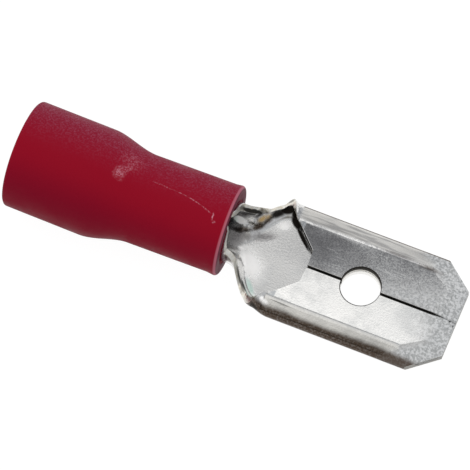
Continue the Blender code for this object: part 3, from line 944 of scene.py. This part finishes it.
@dataclass
class FoldedTerminal:
    """The terminal: one strip folded into the tab, the neck and the crimp barrel.

    The strip is cut out flat, its sheared edges are rounded, and each of its points is
    then carried to where folding takes it. Dies press the tab's long edges and its tip,
    and a punch pierces the detent hole.
    """

    tip_x: float
    axis_height: float
    sheet: float = 0.39 * MM
    hem_gap: float = 0.02 * MM
    seam_gap: float = 0.10 * MM
    seam_gap_at_tip: float = 0.022 * MM
    seam_close_length: float = 2.40 * MM
    tab_width: float = 6.345 * MM
    tab_length: float = 8.00 * MM
    tip_flat_width: float = 3.73 * MM
    tip_chamfer_length: float = 1.56 * MM
    lead_in_length: float = 0.75 * MM
    tip_land: float = 0.42 * MM
    edge_bevel_width: float = 0.90 * MM
    edge_round: float = 0.30 * MM
    crease_round: float = 0.16 * MM
    crease_entry: float = math.radians(-0.5)
    fold_slope: float = math.radians(3.0)
    seam_slope: float = math.radians(1.7)
    hole_diameter: float = 2.05 * MM
    hole_from_tip: float = 5.11 * MM
    hole_edge_round: float = 0.03 * MM
    notch_floor_width: float = 1.80 * MM
    notch_floor_slant: float = 0.04 * MM
    flap_end_length: float = 1.88 * MM
    bevel_from_corner: float = 0.58 * MM
    fold_settle_length: float = 0.95 * MM
    neck_length: float = 2.63 * MM
    barrel_bore: float = 2.34 * MM
    barrel_length: float = 4.70 * MM
    butt_gap: float = 0.16 * MM
    sheared_round: float = 0.03 * MM
    edge_margin: float = 0.075 * MM
    smooth_angle: float = math.radians(38)
    flat_samples: int = 14
    bend_samples: int = 40
    flap_samples: int = 16
    flap_sample_share: float = 0.25
    rim_stations: tuple[tuple[float, float, int], ...] = ((0.0, 0.15, 4), (0.15, 0.26, 14))
    neck_stations: int = 44
    fold_stations: int = 26
    notch_stations: int = 10
    tip_stations: int = 6
    round_steps: int = 14
    crease_steps: int = 6
    hole_steps: int = 96
    die_reach: float = 4.0 * MM

    def __post_init__(self) -> None:
        """Works out the sizes that follow from the given ones."""
        self.barrel_radius = (self.barrel_bore + self.sheet) / 2
        self.base_height = self.axis_height - self.barrel_radius
        self.thickness = 2 * self.sheet + self.hem_gap
        self.middle = self.base_height + (self.thickness - self.sheet) / 2
        half = (self.tab_width - self.sheet) / 2
        lean = (self.fold_slope + self.seam_slope) / 4
        self.hem_radius = ((self.sheet + self.hem_gap) / 2 + lean * half) / (1 + lean)
        self.hem_flat = half - self.hem_radius
        self.flap_turn = math.pi + self.fold_slope
        self.flap_ease = (self.fold_slope - self.seam_slope) / (2 * self.hem_flat)
        self.corner_at = self.tab_length + self.notch_floor_slant + self.flap_end_length
        self.barrel_front_at = self.corner_at + self.neck_length
        self.barrel_rear_at = self.barrel_front_at + self.barrel_length
        self._shape_curves()

    def _shape_curves(self) -> None:
        """Sets how the section opens from the barrel, at place 0, to the tab."""
        butt = math.pi - self.butt_gap / 2 / self.barrel_radius
        self.neck_floor = Curve([
            (0.0, 0.0), (0.215, 0.0), (0.255, 0.0), (0.352, 0.012), (0.466, 0.060),
            (0.571, 0.210), (0.676, 0.420), (0.838, 0.650), (0.943, 0.745), (1.0, 0.780),
        ])
        self.neck_bend = Curve([
            (0.0, 0.0), (0.352, 0.0), (0.466, 0.012), (0.571, 0.080), (0.676, 0.200),
            (0.838, 0.390), (0.943, 0.460), (1.0, 0.520),
        ])
        angles = (
            (0.08, 174), (0.15, 166), (0.18, 159), (0.195, 150), (0.215, 128),
            (0.255, 111), (0.352, 106), (0.466, 99), (0.571, 80), (0.676, 65),
            (0.838, 65), (0.943, 84), (1.0, 99),
        )
        self.neck_angle = Curve(
            [(0.0, butt)] + [(place, math.radians(angle)) for place, angle in angles]
        )
        self.fold_floor = Curve([
            (0.0, 0.780), (0.25, 0.860), (0.5, 0.935), (0.75, 0.980), (1.0, 1.0),
        ])
        self.fold_bend = Curve([
            (0.0, 0.520), (0.25, 0.760), (0.5, 0.910), (0.75, 0.975), (1.0, 1.0),
        ])

    def _opened(self, floor_share: float, bend_share: float) -> Pair:
        """Returns the floor's half width and the bend's radius for shares of the tab's."""
        bend = mix(self.barrel_radius, self.hem_radius, bend_share)
        return self.hem_flat * floor_share, bend

    def _neck(self, distance: float) -> Section:
        """Returns the section in the neck, at a distance behind the tip."""
        place = (self.barrel_front_at - distance) / self.neck_length
        floor, bend = self._opened(self.neck_floor.at(place), self.neck_bend.at(place))
        return Section(floor, bend, floor + bend * self.neck_angle.at(place))

    def _flap_reach(self, half_gap: float) -> float:
        """Returns the strip's half width for a flap that ends at half_gap once folded."""
        run = self.hem_flat - self.hem_radius * math.sin(self.fold_slope) - half_gap
        return self.hem_flat + self.hem_radius * self.flap_turn + run

    def section(self, distance: float) -> Section:
        """Finds the section anywhere along the terminal.

        Args:
            distance: How far behind the tip.

        Returns:
            The section there.
        """
        if distance >= self.barrel_front_at:
            radius = self.barrel_radius
            return Section(0.0, radius, radius * self.neck_angle.at(0.0))
        if distance > self.corner_at:
            return self._neck(distance)
        place = min((self.corner_at - distance) / self.fold_settle_length, 1.0)
        floor, bend = self._opened(self.fold_floor.at(place), self.fold_bend.at(place))
        if distance <= self.tab_length:
            open_share = smooth_step(min(distance / self.seam_close_length, 1.0))
            gap = mix(self.seam_gap_at_tip, self.seam_gap, open_share)
            return Section(floor, bend, self._flap_reach(gap / 2))
        notch_start = self.tab_length + self.notch_floor_slant
        share = (self.corner_at - distance) / (self.corner_at - notch_start)
        corner = self._neck(self.corner_at).reach
        notch = self._flap_reach(self.notch_floor_width / 2)
        return Section(floor, bend, mix(corner, notch, share))

    def _stations(self) -> list[float]:
        """Returns the distances behind the tip at which the strip is divided."""
        notch_start = self.tab_length + self.notch_floor_slant
        settled = self.corner_at - self.fold_settle_length
        stations = [self.barrel_rear_at, self.barrel_front_at]
        for start, end, count in self.rim_stations:
            for share in spread(start, end, count):
                stations.append(self.barrel_front_at - share * self.neck_length)
        stations += spread(stations[-1], self.corner_at, self.neck_stations)
        stations += spread(self.corner_at, settled, self.fold_stations)
        stations += spread(settled, notch_start, self.notch_stations)
        stations += [self.tab_length, self.seam_close_length]
        return stations + spread(self.seam_close_length, 0.0, self.tip_stations)

    def _sample(self, section: Section, index: int) -> float:
        """Places one of the samples into which the strip's half width is divided.

        Args:
            section: The folded section.
            index: Which sample, counted from the middle.

        Returns:
            How far from the strip's middle it lies.
        """
        total = self.flat_samples + self.bend_samples + self.flap_samples
        flat_end = max(section.floor, section.reach * self.flat_samples / total)
        bend_end = min(section.floor + section.bend * self.flap_turn,
                       mix(section.reach, flat_end, self.flap_sample_share))
        if index <= self.flat_samples:
            return flat_end * index / self.flat_samples
        index -= self.flat_samples
        if index <= self.bend_samples:
            return mix(flat_end, bend_end, index / self.bend_samples)
        index -= self.bend_samples
        if index == self.flap_samples:
            return section.reach
        near_edge = section.reach - self.edge_margin
        return mix(bend_end, near_edge, index / (self.flap_samples - 1))

    def _fold(self, point: Vector) -> Vector:
        """Carries a point of the flat strip to where folding takes it.

        Args:
            point: A point of the strip: along it, across it from the middle, and above
                the middle of its thickness.

        Returns:
            The folded point.
        """
        section = self.section(self.tip_x - point.x)
        flat_run = min(point.y, section.floor)
        turned = min(max(point.y - section.floor, 0.0) / section.bend, self.flap_turn)
        flap_run = max(point.y - section.floor - section.bend * self.flap_turn, 0.0)
        facing = turned - 2 * self.flap_ease * flap_run
        drop = (self.fold_slope - self.flap_ease * flap_run) * flap_run
        across = flat_run + section.bend * math.sin(turned) - flap_run
        height = section.bend * (1 - math.cos(turned)) - drop
        across -= point.z * math.sin(facing)
        height += point.z * math.cos(facing)
        return Vector((point.x, across, self.base_height + height))

    @staticmethod
    def _is_rim(edge: bmesh.types.BMEdge) -> bool:
        """Says whether an edge of the flat strip is a long sheared one, which gets rounded."""
        along = edge.verts[1].co - edge.verts[0].co
        runs_lengthwise = abs(along.x) > RIM_LEAN * abs(along.y) + abs(along.z)
        return runs_lengthwise and edge.is_manifold and edge.calc_face_angle() > RIM_ANGLE

    def _flat_strip(self) -> Form:
        """Returns half of the strip, cut out flat, with its sheared edges rounded."""
        stations = self._stations()
        rows = len(stations) - 1
        columns = self.flat_samples + self.bend_samples + self.flap_samples
        strip = bmesh.new()
        bmesh.ops.create_grid(strip, x_segments=rows, y_segments=columns, size=0.5)
        for vert in strip.verts:
            distance = stations[round((vert.co.x + 0.5) * rows)]
            along = self._sample(self.section(distance), round((vert.co.y + 0.5) * columns))
            vert.co = Vector((self.tip_x - distance, along, -self.sheet / 2))
        thicken(strip, strip.faces[:], (0.0, 0.0, self.sheet))
        middle = [face for face in strip.faces
                  if all(abs(vert.co.y) < FINE_MERGE_DISTANCE for vert in face.verts)]
        bmesh.ops.delete(strip, geom=middle, context="FACES")
        bmesh.ops.recalc_face_normals(strip, faces=strip.faces[:])
        rims = [edge for edge in strip.edges if self._is_rim(edge)]
        for face in strip.faces:
            wall = abs(face.normal.z) < 0.5
            face.material_index = Surface.SHEARED.value if wall else Surface.PLATED.value
        bmesh.ops.bevel(
            strip, geom=rims, offset=self.sheared_round, offset_type="OFFSET", segments=2,
            profile=0.5, affect="EDGES", clamp_overlap=False, material=-1,
        )
        return strip

    def _folded(self) -> Form:
        """Returns the whole strip, folded."""
        strip = self._flat_strip()
        for vert in strip.verts:
            vert.co = self._fold(vert.co)
        bmesh.ops.mirror(
            strip, geom=strip.verts[:] + strip.edges[:] + strip.faces[:],
            matrix=Matrix.Identity(4), axis="Y", merge_dist=MERGE_DISTANCE,
        )
        bmesh.ops.remove_doubles(strip, verts=strip.verts, dist=MERGE_DISTANCE)
        bmesh.ops.recalc_face_normals(strip, faces=strip.faces[:])
        return strip

    def _die_outline(self) -> list[Pair]:
        """Returns the upper half of the outline, across and up, that presses a long edge.

        It starts on the flap just inside the crease, bends over it, runs down the bevel
        and rounds the edge as far as the middle of the tab's thickness.
        """
        crease = self.tab_width / 2 - self.edge_bevel_width
        rise = (self.seam_slope + self.flap_ease * crease) * crease
        crease_height = self.thickness / 2 + rise
        run = self.edge_bevel_width - self.edge_round
        reach = math.hypot(crease_height, run)
        slope = math.acos(self.edge_round / reach) - math.atan2(run, crease_height)
        radius = self.crease_round / math.tan((slope - self.crease_entry) / 2)
        end = Vector((math.cos(slope), -math.sin(slope))) * self.crease_round
        centre = Vector((crease, crease_height)) + end
        centre -= Vector((math.sin(slope), math.cos(slope))) * radius
        over_crease = arc(centre, radius, self.crease_entry, slope, self.crease_steps)
        middle = (self.tab_width / 2 - self.edge_round, 0.0)
        return over_crease + arc(middle, self.edge_round, slope, math.pi / 2, self.round_steps)

    def _edge_dies(self) -> Iterable[tuple[str, Form]]:
        """Makes the two dies that press the tab's long edges."""
        upper = self._die_outline()
        lead = (upper[0][0] - self.edge_round, upper[0][1] + self.edge_round)
        lower = [(across, -up) for across, up in [lead] + upper[:-1]]
        far = self.die_reach
        outline = [lead] + upper + lower[::-1]
        outline += [(lead[0], -far), (2 * far, -far), (2 * far, far), (lead[0], far)]
        start = self.tip_x - self.corner_at + self.bevel_from_corner
        for side in (1, -1):
            die = bmesh.new()
            corners = [
                die.verts.new((start, side * across, self.middle + up)) for across, up in outline
            ]
            thicken(die, [die.faces.new(corners)], (self.corner_at + far, 0.0, 0.0))
            yield "edge_die", die

    def _plane_die(self, point: Vector, outward: Vector, surface: Surface) -> Form:
        """Makes a block that takes away what lies beyond a plane.

        Args:
            point: A point of the plane.
            outward: The direction of what is taken away.
            surface: What the cut leaves.

        Returns:
            The block.
        """
        die = bmesh.new()
        bmesh.ops.create_cube(die, size=2 * self.die_reach)
        bmesh.ops.translate(die, verts=die.verts, vec=(0.0, 0.0, self.die_reach))
        turn = outward.to_track_quat("Z", "Y").to_matrix()
        bmesh.ops.rotate(die, verts=die.verts, cent=(0.0, 0.0, 0.0), matrix=turn)
        bmesh.ops.translate(die, verts=die.verts, vec=point)
        for face in die.faces:
            face.material_index = surface.value
        return die

    def _tip_dies(self) -> Iterable[tuple[str, Form]]:
        """Makes the blocks that chamfer the tab's corners and thin it towards its tip."""
        corner = self.tip_flat_width / 2
        inset = self.tab_width / 2 - corner
        across = Vector((inset, self.tip_chamfer_length, 0.0)).normalized()
        sides = (
            (0.0, Vector((1.0, 0.0, 0.0))),
            (corner, across),
            (-corner, Vector((across.x, -across.y, 0.0))),
        )
        slope = math.atan2((self.thickness - self.tip_land) / 2, self.lead_in_length)
        for place, ahead in sides:
            if place:
                point = Vector((self.tip_x, place, self.middle))
                yield "tip_chamfer", self._plane_die(point, ahead, Surface.SHEARED)
            for face in (1, -1):
                point = Vector((self.tip_x, place, self.middle + face * self.tip_land / 2))
                outward = ahead * math.sin(slope) + Vector((0.0, 0.0, face * math.cos(slope)))
                yield "lead_in", self._plane_die(point, outward, Surface.PRESSED)

    def _punch(self) -> Form:
        """Makes the punch of the detent hole, flared to round the hole's edges."""
        radius = self.hole_diameter / 2
        edge = self.hole_edge_round
        surface = self.thickness / 2
        far = self.die_reach / 2
        flare = far - surface + edge
        profile = (
            (radius + flare, -far), (radius, edge - surface), (radius, surface - edge),
            (radius + flare, far),
        )
        place = Vector((self.tip_x - self.hole_from_tip, 0.0, self.middle))
        points = [place + Vector((out, 0.0, up)) for out, up in profile]
        punch = spun(points, place, (0.0, 0.0, 1.0), self.hole_steps)
        bmesh.ops.holes_fill(punch, edges=punch.edges, sides=0)
        for face in punch.faces:
            face.material_index = Surface.SHEARED.value
        return punch

    def _press(self, blank: bpy.types.Object) -> bpy.types.Mesh:
        """Presses and pierces the folded blank.

        Args:
            blank: The folded strip.

        Returns:
            The pressed mesh.
        """
        dies = list(self._edge_dies()) + list(self._tip_dies()) + [("punch", self._punch())]
        made = []
        for name, form in dies:
            bmesh.ops.recalc_face_normals(form, faces=form.faces[:])
            made.append(new_object(name, form))
            cut = blank.modifiers.new(name, "BOOLEAN")
            cut.operation = "DIFFERENCE"
            cut.solver = "EXACT"
            cut.object = made[-1]
        graph = bpy.context.evaluated_depsgraph_get()
        pressed = bpy.data.meshes.new_from_object(blank.evaluated_get(graph), depsgraph=graph)
        for die in made:
            bpy.data.objects.remove(die, do_unlink=True)
        return pressed

    @staticmethod
    def _crease_lead_in(mesh: bpy.types.Mesh) -> None:
        """Keeps the line sharp where the pressed lead-in meets the flat of the tab.

        Args:
            mesh: The pressed mesh.
        """
        form = bmesh.new()
        form.from_mesh(mesh)
        for edge in form.edges:
            kinds = {face.material_index for face in edge.link_faces}
            if len(kinds) > 1 and Surface.PRESSED.value in kinds:
                edge.smooth = False
        form.to_mesh(mesh)
        form.free()

    def build(self, plate: Material, sheared: Material) -> bpy.types.Object:
        """Builds the piece.

        Args:
            plate: The finish of the strip's faces.
            sheared: The finish of its cut edges.

        Returns:
            The piece.
        """
        piece = new_object("folded_terminal", self._folded())
        for finish in (plate, sheared, plate):
            piece.data.materials.append(finish)
        pressed = self._press(piece)
        piece.modifiers.clear()
        piece.data = pressed
        smooth(pressed, self.smooth_angle)
        self._crease_lead_in(pressed)
        flat = piece.modifiers.new("flat_faces", "WEIGHTED_NORMAL")
        flat.keep_sharp = True
        stand_for(piece, "terminal_body")
        return piece


@dataclass
class TurnedSleeve:
    """The insulating sleeve: a turned tube, narrow over the barrel and wide over the wire.

    It has taken a slight bend at its shoulder, and its front end isn't cut quite square.
    """

    front_x: float
    axis_height: float
    narrow_radius: float = 2.325 * MM
    front_radius: float = 2.365 * MM
    wide_radius: float = 2.81 * MM
    grip_radius: float = 1.61 * MM
    wide_bore_radius: float = 2.15 * MM
    length: float = 11.28 * MM
    shoulder_from: float = 4.70 * MM
    shoulder_to: float = 7.20 * MM
    grip_to: float = 5.23 * MM
    funnel_to: float = 6.53 * MM
    rim_radius: float = 0.16 * MM
    mouth_chamfer: float = 0.15 * MM
    bend_at: float = 6.10 * MM
    bend_length: float = 3.20 * MM
    bend_depth: float = 0.085 * MM
    slant: float = 0.20 * MM
    slant_length: float = 1.20 * MM
    smooth_angle: float = math.radians(30)
    rim_steps: int = 7
    shoulder_steps: int = 22
    turn_steps: int = 128

    def _half_section(self) -> list[Pair]:
        """Returns the half section, as distances behind the front and from the axis."""
        rim = self.rim_radius
        quarter = math.pi / 2
        rear = self.length - rim
        points = arc((rim, self.front_radius - rim), rim, -quarter, 0.0, self.rim_steps)
        points.append((3 * rim, self.narrow_radius))
        for step in range(self.shoulder_steps + 1):
            share = step / self.shoulder_steps
            points.append((mix(self.shoulder_from, self.shoulder_to, share),
                           mix(self.narrow_radius, self.wide_radius, smooth_step(share))))
        points += arc((rear, self.wide_radius - rim), rim, 0.0, quarter, self.rim_steps)
        points += arc((rear, self.wide_bore_radius + rim), rim, quarter, math.pi, self.rim_steps)
        return points + [
            (self.funnel_to, self.wide_bore_radius),
            (self.grip_to, self.grip_radius),
            (self.mouth_chamfer, self.grip_radius),
            (0.0, self.grip_radius + self.mouth_chamfer),
        ]

    def _settle(self, point: Vector) -> Vector:
        """Bends the straight sleeve slightly at its shoulder and slants its front.

        Args:
            point: A point of the straight sleeve.

        Returns:
            Its place on the finished one.
        """
        behind = self.front_x - point.x
        nearness = max(0.0, 1 - abs(behind - self.bend_at) / self.bend_length)
        lean = max(0.0, 1 - behind / self.slant_length)
        ahead = self.slant * smooth_step(lean) * (self.front_radius - point.y)
        moved = point.copy()
        moved.y -= self.bend_depth * smooth_step(nearness)
        moved.x += ahead / (2 * self.front_radius)
        return moved

    def build(self, pvc: Material) -> bpy.types.Object:
        """Builds the piece.

        Args:
            pvc: The sleeve's finish.

        Returns:
            The piece.
        """
        section = self._half_section()
        points = [Vector((self.front_x - behind, 0.0, self.axis_height + out))
                  for behind, out in section + section[:1]]
        middle = Vector((self.front_x, 0.0, self.axis_height))
        form = spun(points, middle, (1.0, 0.0, 0.0), self.turn_steps)
        for vert in form.verts:
            vert.co = self._settle(vert.co)
        bmesh.ops.recalc_face_normals(form, faces=form.faces[:])
        piece = new_object("turned_sleeve", form)
        piece.data.materials.append(pvc)
        smooth(piece.data, self.smooth_angle)
        stand_for(piece, "insulating_sleeve")
        return piece


@dataclass
class Studio:
    """The pale floor, the soft light and the camera."""

    azimuth: float = math.radians(22.468)
    elevation: float = math.radians(65.909)
    distance: float = 200.2 * MM
    pixels_per_mm: float = 19.832
    image_width: int = 470
    frame_point: Triple = (0.15 * MM, 0.0, 1.66 * MM)
    frame_pixel: Pair = (240.778, 244.423)
    sensor_width: float = 36.0
    clip: Pair = (0.01, 10.0)
    floor_size: float = 0.5
    floor_colour: Triple = (0.85, 0.85, 0.85)
    floor_glow: float = 1.06
    floor_glow_share: float = 0.90
    plain_way: Pair = (0.6, 0.8)
    plain_levels: Pair = (0.72, 1.22)
    rear_panel: Triple = (1.20, 1.20, 1.20)
    front_panel: Triple = (0.55, 0.56, 0.58)
    panel_from: Pair = (0.30, 0.50)
    arc_turn: Pair = (-0.12, -0.04)
    arc_behind: tuple[Quad, ...] = (
        (0.0, 0.80, 0.79, 0.77), (20.0, 0.85, 0.84, 0.82), (27.0, 0.88, 0.87, 0.85),
        (33.0, 0.72, 0.71, 0.69), (43.0, 0.72, 0.71, 0.69), (50.0, 1.10, 1.10, 1.10),
        (56.0, 1.50, 1.49, 1.47), (61.5, 1.47, 1.46, 1.44), (64.0, 1.00, 1.00, 1.00),
        (66.0, 0.88, 0.88, 0.88), (68.0, 0.72, 0.72, 0.72), (69.3, 0.52, 0.52, 0.52),
        (70.5, 0.30, 0.30, 0.31), (72.0, 0.18, 0.18, 0.19), (75.0, 0.20, 0.20, 0.21),
        (80.0, 0.66, 0.66, 0.66), (86.0, 0.88, 0.87, 0.85), (95.0, 0.95, 0.94, 0.91),
        (101.0, 0.80, 0.79, 0.76), (107.0, 0.25, 0.24, 0.22), (114.0, 0.10, 0.09, 0.08),
        (124.0, 0.40, 0.39, 0.37), (135.0, 0.85, 0.85, 0.84), (155.0, 0.90, 0.90, 0.90),
        (180.0, 0.55, 0.55, 0.55),
    )
    arc_ahead: tuple[Quad, ...] = (
        (0.0, 0.85, 0.85, 0.85), (30.0, 0.95, 0.95, 0.95), (52.0, 0.62, 0.63, 0.65),
        (67.0, 0.60, 0.63, 0.66), (80.0, 0.62, 0.64, 0.66), (92.0, 0.42, 0.42, 0.42),
        (105.0, 0.18, 0.17, 0.16), (125.0, 0.45, 0.44, 0.42), (140.0, 0.75, 0.75, 0.74),
        (180.0, 0.55, 0.55, 0.55),
    )

    def axes(self) -> tuple[Vector, Vector, Vector]:
        """Returns the camera's right, up and backward directions."""
        level = math.cos(self.elevation)
        back = Vector((
            math.sin(self.azimuth) * level,
            -math.cos(self.azimuth) * level,
            math.sin(self.elevation),
        ))
        right = Vector((math.cos(self.azimuth), math.sin(self.azimuth), 0.0))
        return right, back.cross(right), back

    def build_camera(self) -> None:
        """Sets up the camera at the photograph's angle."""
        right, up, back = self.axes()
        middle = self.image_width / 2
        pixel = MM / self.pixels_per_mm
        target = Vector(self.frame_point)
        target -= right * (self.frame_pixel[0] - middle) * pixel
        target += up * (self.frame_pixel[1] - middle) * pixel
        data = bpy.data.cameras.new("camera")
        data.sensor_width = self.sensor_width
        focal_pixels = self.pixels_per_mm * self.distance / MM
        data.lens = focal_pixels / self.image_width * self.sensor_width
        data.clip_start, data.clip_end = self.clip
        camera = bpy.data.objects.new("camera", data)
        bpy.context.scene.collection.objects.link(camera)
        placed = Matrix((right, up, back)).transposed().to_4x4()
        placed.translation = target + back * self.distance
        camera.matrix_world = placed
        bpy.context.scene.camera = camera

    def build_floor(self) -> None:
        """Lays the pale floor that the terminal lies on."""
        form = bmesh.new()
        bmesh.ops.create_grid(form, x_segments=1, y_segments=1, size=self.floor_size)
        floor = new_object("floor", form)
        material = bpy.data.materials.new("pale_floor")
        material.use_nodes = True
        nodes = Nodes(material.node_tree)
        shader = nodes.tree.nodes["Principled BSDF"]
        nodes.put(shader.inputs["Base Color"], self.floor_colour)
        nodes.put(shader.inputs["Roughness"], 1.0)
        nodes.put(shader.inputs["Specular IOR Level"], 0.0)
        rays = nodes.add("LightPath").outputs
        seen = nodes.most(rays["Is Camera Ray"], rays["Is Glossy Ray"],
                          rays["Is Transmission Ray"])
        glow = nodes.add("Emission", {"Color": WHITE, "Strength": self.floor_glow})
        both = nodes.add("MixShader", {0: nodes.times(seen, self.floor_glow_share),
                                       1: shader.outputs[0], 2: glow.outputs[0]})
        nodes.put(nodes.tree.nodes["Material Output"].inputs["Surface"], both.outputs[0])
        floor.data.materials.append(material)
        floor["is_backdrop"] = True

    @staticmethod
    def _arc(nodes: Nodes, share: Socket,
             stops: Sequence[Quad]) -> Socket:
        """Makes an arc of light over the terminal, from behind it to in front of it.

        Args:
            nodes: The world's nodes.
            share: How far over the arc, from 0 to 1.
            stops: Degrees over the arc, with the light's red, green and blue there.

        Returns:
            The light's colour.
        """
        ramp = nodes.add("ValToRGB", {0: share})
        ramp.color_ramp.interpolation = "EASE"
        elements = ramp.color_ramp.elements
        while len(elements) < len(stops):
            elements.new(1.0)
        for element, (degrees, red, green, blue) in zip(elements, stops):
            element.position = degrees / HALF_TURN
            element.color = (red, green, blue, 1.0)
        return ramp.outputs["Color"]

    def build_light(self) -> None:
        """Lights the terminal with a soft bright side, a grey top and a dark side."""
        world = bpy.data.worlds.new("soft_studio")
        bpy.context.scene.world = world
        world.use_nodes = True
        nodes = Nodes(world.node_tree)
        background = world.node_tree.nodes["Background"]
        way = nodes.add("TexCoord").outputs["Generated"]
        along, aside, up = nodes.add("SeparateXYZ", {0: way}).outputs
        share = nodes.add("Math", {0: nodes.math("ARCTAN2", up, aside), 1: math.pi},
                          operation="DIVIDE", use_clamp=True).outputs[0]
        start, end = self.panel_from
        light = nodes.layered(
            self._arc(nodes, share, self.arc_behind),
            (nodes.ramp(along, *self.arc_turn), self._arc(nodes, share, self.arc_ahead)),
            (nodes.ramp(along, start, end), self.front_panel),
            (nodes.ramp(along, -start, -end), self.rear_panel),
        )
        sideways, upwards = self.plain_way
        facing = nodes.math("ADD", nodes.times(up, upwards), nodes.times(aside, sideways))
        plain = nodes.ramp(facing, -1.0, 1.0, *self.plain_levels)
        rays = nodes.add("LightPath").outputs
        shown = nodes.layered(plain, (rays["Is Glossy Ray"], light), (rays["Is Camera Ray"], WHITE))
        nodes.put(background.inputs["Color"], shown)
        nodes.put(background.inputs["Strength"], 1.0)


def main() -> None:
    """Builds the terminal, its sleeve and the studio."""
    logging.basicConfig(level=logging.INFO, format="%(message)s")
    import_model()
    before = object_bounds()
    effects = Effects()
    tip_x = before[1].x
    axis_height = before[1].z / 2
    terminal = FoldedTerminal(tip_x, axis_height)
    piece = terminal.build(TinPlate().material(effects), ShearedBrass().material(effects))
    log.info("%s: %d faces", piece.name, len(piece.data.polygons))
    sleeve_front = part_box("insulating_sleeve")[1].x
    sleeve = TurnedSleeve(sleeve_front, axis_height).build(CrimsonPvc().material(effects))
    log.info("%s: %d faces", sleeve.name, len(sleeve.data.polygons))
    studio = Studio()
    studio.build_camera()
    studio.build_floor()
    studio.build_light()
    log.info("studio: camera, floor and light")
    bpy.context.scene.view_settings.view_transform = "Standard"


if __name__ == "__main__":
    main()
